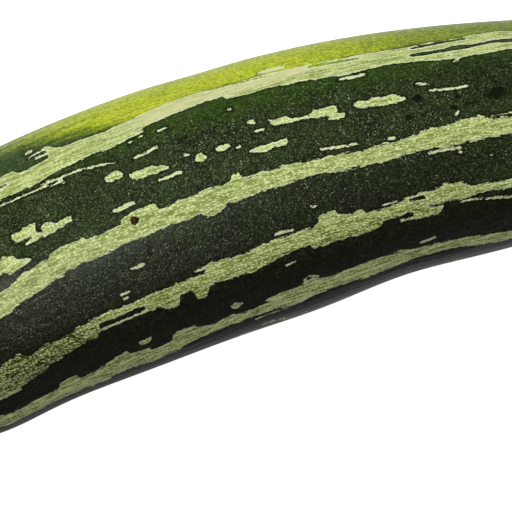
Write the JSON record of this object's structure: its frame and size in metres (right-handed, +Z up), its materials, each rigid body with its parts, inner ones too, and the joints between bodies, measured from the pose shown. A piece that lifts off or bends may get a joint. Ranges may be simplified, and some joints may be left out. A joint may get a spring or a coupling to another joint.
{
  "type": "zucchini",
  "caption": "Curved, striped summer squash as picked: a smooth, slightly ribbed fruit that tapers to its stem end, with the cut, angled stalk still on it.",
  "frame": {"origin": "on the surface that the zucchini lies on, under the middle of its whole outline (the bottom centre of its bounding box)", "axes": "+X along the chord of the bend, from the blossom end to the stem; +Y towards the outside of the bend; +Z up from the surface"},
  "size_m": [0.2582, 0.0624, 0.0547],
  "materials": {
    "fruit_skin": "dark green waxy skin with fine pale specks and torn, mottled pale green stripes along it; satin",
    "stem_skin": "pale green ribbed stalk, fibrous and drier at its cut; matt"
  },
  "bodies": {
    "root": {"fruit": "fruit_skin", "stem": "stem_skin"}
  },
  "joints": []
}
